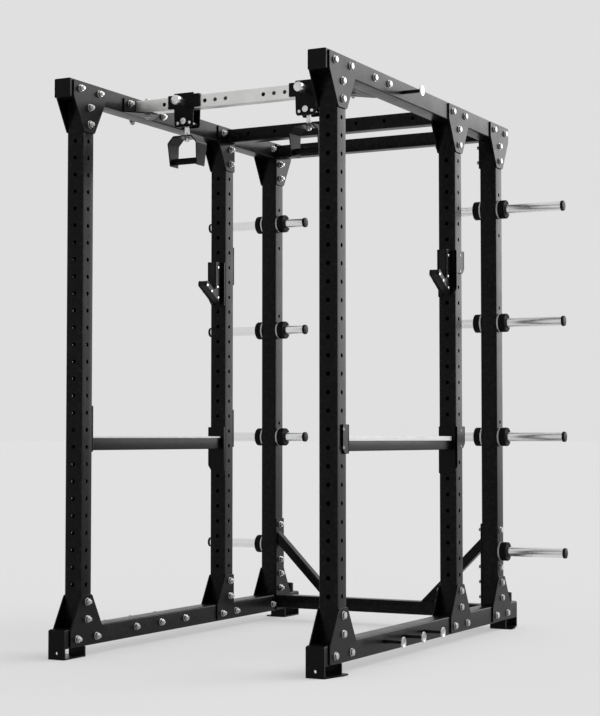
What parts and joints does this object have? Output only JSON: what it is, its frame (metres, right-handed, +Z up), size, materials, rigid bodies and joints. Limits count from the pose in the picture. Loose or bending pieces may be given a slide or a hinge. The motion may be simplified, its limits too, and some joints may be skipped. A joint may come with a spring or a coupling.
{
  "type": "power cage",
  "caption": "Free-standing black steel power cage: bar hooks, safety bars, chrome plate pegs, band pegs and a steel crossbar with sliding, swivelling pull-up handles.",
  "frame": {"origin": "on the floor, at the middle of the footprint", "axes": "+X to the right of a user who faces +Y from the open front, +Y towards the rear uprights, +Z up"},
  "size_m": [1.812, 1.9526, 2.271],
  "materials": {
    "black_powder_coat": "satin",
    "satin_steel": "satin",
    "chrome": "gloss"
  },
  "bodies": {
    "frame": {"front_upright_left": "black_powder_coat", "middle_upright_left": "black_powder_coat", "rear_upright_left": "black_powder_coat", "top_rail_left": "black_powder_coat", "bottom_rail_left": "black_powder_coat", "front_foot_left": "black_powder_coat", "rear_foot_left": "black_powder_coat", "rear_brace_left": "black_powder_coat", "top_gussets_front_left": "black_powder_coat", "top_gussets_middle_left": "black_powder_coat", "top_gussets_rear_left": "black_powder_coat", "bottom_gussets_front_left": "black_powder_coat", "bottom_gussets_middle_left": "black_powder_coat", "bottom_gussets_rear_left": "black_powder_coat", "plate_peg_left_1": "chrome", "plate_peg_left_2": "chrome", "plate_peg_left_3": "chrome", "plate_peg_left_4": "chrome", "band_peg_left_1": "black_powder_coat", "band_peg_left_2": "black_powder_coat", "band_peg_left_3": "black_powder_coat", "bar_holder_left": "black_powder_coat", "front_upright_right": "black_powder_coat", "middle_upright_right": "black_powder_coat", "rear_upright_right": "black_powder_coat", "top_rail_right": "black_powder_coat", "bottom_rail_right": "black_powder_coat", "front_foot_right": "black_powder_coat", "rear_foot_right": "black_powder_coat", "rear_brace_right": "black_powder_coat", "top_gussets_front_right": "black_powder_coat", "top_gussets_middle_right": "black_powder_coat", "top_gussets_rear_right": "black_powder_coat", "bottom_gussets_front_right": "black_powder_coat", "bottom_gussets_middle_right": "black_powder_coat", "bottom_gussets_rear_right": "black_powder_coat", "plate_peg_right_1": "chrome", "plate_peg_right_2": "chrome", "plate_peg_right_3": "chrome", "plate_peg_right_4": "chrome", "band_peg_right_1": "black_powder_coat", "band_peg_right_2": "black_powder_coat", "band_peg_right_3": "black_powder_coat", "bar_holder_right": "black_powder_coat", "middle_top_beam": "black_powder_coat", "rear_top_beam": "black_powder_coat", "rear_floor_beam": "black_powder_coat", "front_crossbar": "satin_steel"},
    "bar_hook_left": {"bar_hook_left": "black_powder_coat"},
    "safety_bar_left": {"safety_bar_left": "black_powder_coat"},
    "trolley_left": {"trolley_left": "black_powder_coat"},
    "lock_pin_left": {"lock_pin_left": "satin_steel"},
    "hanger_left": {"hanger_left": "satin_steel"},
    "handle_left": {"handle_left": "black_powder_coat"},
    "bar_hook_right": {"bar_hook_right": "black_powder_coat"},
    "safety_bar_right": {"safety_bar_right": "black_powder_coat"},
    "trolley_right": {"trolley_right": "black_powder_coat"},
    "lock_pin_right": {"lock_pin_right": "satin_steel"},
    "hanger_right": {"hanger_right": "satin_steel"},
    "handle_right": {"handle_right": "black_powder_coat"}
  },
  "joints": [
    {"name": "bar_hook_left_slide", "type": "slide", "parent": "frame", "child": "bar_hook_left", "axis": [-1, 0, 0], "range_m": [0, 0.09]},
    {"name": "safety_bar_left_slide", "type": "slide", "parent": "frame", "child": "safety_bar_left", "axis": [-1, 0, 0], "range_m": [0, 0.09]},
    {"name": "trolley_left_slide", "type": "slide", "parent": "frame", "child": "trolley_left", "axis": [1, 0, 0], "range_m": [-0.0968, 0.1936]},
    {"name": "lock_pin_left_slide", "type": "slide", "parent": "trolley_left", "child": "lock_pin_left", "axis": [0, -1, 0], "range_m": [0, 0.015], "stiffness_N_per_m": 600, "springref_m": -0.01},
    {"name": "hanger_left_swing", "type": "hinge", "parent": "trolley_left", "child": "hanger_left", "pos_m": [-0.2809, -0.477, 2.1515], "axis": [0, 1, 0], "range_deg": [-35, 35]},
    {"name": "handle_left_spin", "type": "hinge", "parent": "hanger_left", "child": "handle_left", "pos_m": [-0.2809, -0.477, 2.088], "axis": [0, 0, 1], "continuous": true},
    {"name": "bar_hook_right_slide", "type": "slide", "parent": "frame", "child": "bar_hook_right", "axis": [1, 0, 0], "range_m": [0, 0.09]},
    {"name": "safety_bar_right_slide", "type": "slide", "parent": "frame", "child": "safety_bar_right", "axis": [1, 0, 0], "range_m": [0, 0.09]},
    {"name": "trolley_right_slide", "type": "slide", "parent": "frame", "child": "trolley_right", "axis": [1, 0, 0], "range_m": [-0.1936, 0.0968]},
    {"name": "lock_pin_right_slide", "type": "slide", "parent": "trolley_right", "child": "lock_pin_right", "axis": [0, -1, 0], "range_m": [0, 0.015], "stiffness_N_per_m": 600, "springref_m": -0.01},
    {"name": "hanger_right_swing", "type": "hinge", "parent": "trolley_right", "child": "hanger_right", "pos_m": [0.2809, -0.477, 2.1515], "axis": [0, 1, 0], "range_deg": [-35, 35]},
    {"name": "handle_right_spin", "type": "hinge", "parent": "hanger_right", "child": "handle_right", "pos_m": [0.2809, -0.477, 2.088], "axis": [0, 0, 1], "continuous": true}
  ]
}
